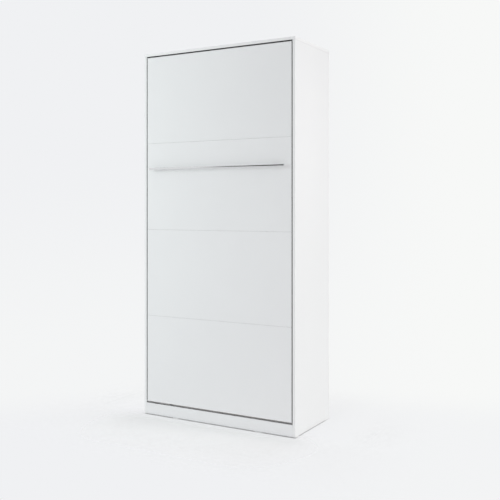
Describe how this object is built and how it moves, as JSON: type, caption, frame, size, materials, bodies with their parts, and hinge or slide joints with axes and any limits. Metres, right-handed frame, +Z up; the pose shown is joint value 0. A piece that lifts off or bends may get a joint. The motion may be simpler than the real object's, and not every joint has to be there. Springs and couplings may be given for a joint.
{
  "type": "wall bed",
  "caption": "Vertical single wall bed in a shallow white cabinet: the panelled front folds down on side pins with gas struts and a swing-over steel foot bow.",
  "frame": {"origin": "on the floor, under the middle of the closed bed's box, its handle bar included", "axes": "+X to the right as seen from the front, +Y back to the wall, +Z up"},
  "size_m": [1.02, 0.482, 2.18],
  "materials": {
    "birch": "satin",
    "black_rubber": "matte",
    "bow_paint": "satin",
    "cabinet_board": "satin",
    "frame_board": "satin",
    "front_board": "satin",
    "handle_chrome": "polished",
    "holder_plastic": "matte",
    "pine": "matte",
    "rod_chrome": "polished",
    "strut_paint": "satin",
    "white_plastic": "satin",
    "zinc_steel": "satin"
  },
  "bodies": {
    "cabinet": {"bearing_plate_left": "zinc_steel", "bearing_plate_right": "zinc_steel", "cabinet_screws": "zinc_steel", "door_stops": "white_plastic", "glides": "white_plastic", "left_side_panel": "cabinet_board", "lower_back_rail": "cabinet_board", "middle_back_rail": "cabinet_board", "pivot_bushes": "white_plastic", "plinth_board": "cabinet_board", "right_side_panel": "cabinet_board", "stop_pads": "black_rubber", "strut_anchor_left": "zinc_steel", "strut_anchor_right": "zinc_steel", "top_panel": "cabinet_board", "upper_back_rail": "cabinet_board", "wall_brackets": "zinc_steel"},
    "bed": {"bed_plate_left": "zinc_steel", "bed_plate_right": "zinc_steel", "bed_screws": "zinc_steel", "bed_side_left": "frame_board", "bed_side_right": "frame_board", "bow_pivots": "zinc_steel", "cross_bearer_1": "pine", "cross_bearer_2": "pine", "cross_bearer_3": "pine", "door_panel_1": "front_board", "door_panel_2": "front_board", "door_panel_3": "front_board", "door_panel_4": "front_board", "foot_board": "frame_board", "handle_bar": "handle_chrome", "handle_posts": "handle_chrome", "head_board": "frame_board", "pivot_pins": "zinc_steel", "slat_01": "birch", "slat_02": "birch", "slat_03": "birch", "slat_04": "birch", "slat_05": "birch", "slat_06": "birch", "slat_07": "birch", "slat_08": "birch", "slat_09": "birch", "slat_10": "birch", "slat_11": "birch", "slat_12": "birch", "slat_13": "birch", "slat_14": "birch", "slat_holders": "holder_plastic", "slat_rail_left": "pine", "slat_rail_right": "pine"},
    "foot_bow": {"bow_arm_left": "bow_paint", "bow_arm_right": "bow_paint", "bow_bar": "bow_paint", "bow_feet": "black_rubber"},
    "strut_tube_left": {"strut_tube_left": "strut_paint"},
    "strut_tube_right": {"strut_tube_right": "strut_paint"},
    "strut_rod_left": {"strut_rod_left": "rod_chrome"},
    "strut_rod_right": {"strut_rod_right": "rod_chrome"}
  },
  "joints": [
    {"name": "bed_fold", "type": "hinge", "parent": "cabinet", "child": "bed", "pos_m": [0, -0.109, 0.319], "axis": [1, 0, 0], "range_deg": [0, 90], "stiffness_Nm_per_rad": 120, "springref_deg": -34.38},
    {"name": "bow_fold", "type": "hinge", "parent": "bed", "child": "foot_bow", "pos_m": [0, -0.175, 1.9], "axis": [1, 0, 0], "range_deg": [0, 110]},
    {"name": "strut_swing_left", "type": "hinge", "parent": "cabinet", "child": "strut_tube_left", "pos_m": [-0.481, 0.041, 0.699], "axis": [1, 0, 0], "range_deg": [0, 19.19]},
    {"name": "strut_slide_left", "type": "slide", "parent": "strut_tube_left", "child": "strut_rod_left", "axis": [0, 0.2224, 0.975], "range_m": [0, 0.22243]},
    {"name": "strut_swing_right", "type": "hinge", "parent": "cabinet", "child": "strut_tube_right", "pos_m": [0.481, 0.041, 0.699], "axis": [1, 0, 0], "range_deg": [0, 19.19]},
    {"name": "strut_slide_right", "type": "slide", "parent": "strut_tube_right", "child": "strut_rod_right", "axis": [0, 0.2224, 0.975], "range_m": [0, 0.22243]}
  ],
  "couplings": [
    {"joint": "bow_fold", "follows": "bed_fold", "ratio": 1.2222},
    {"joint": "strut_swing_left", "follows": "bed_fold", "ratio": 0.2132},
    {"joint": "strut_slide_left", "follows": "bed_fold", "m_per_rad": 0.1416},
    {"joint": "strut_swing_right", "follows": "bed_fold", "ratio": 0.2132},
    {"joint": "strut_slide_right", "follows": "bed_fold", "m_per_rad": 0.1416}
  ]
}
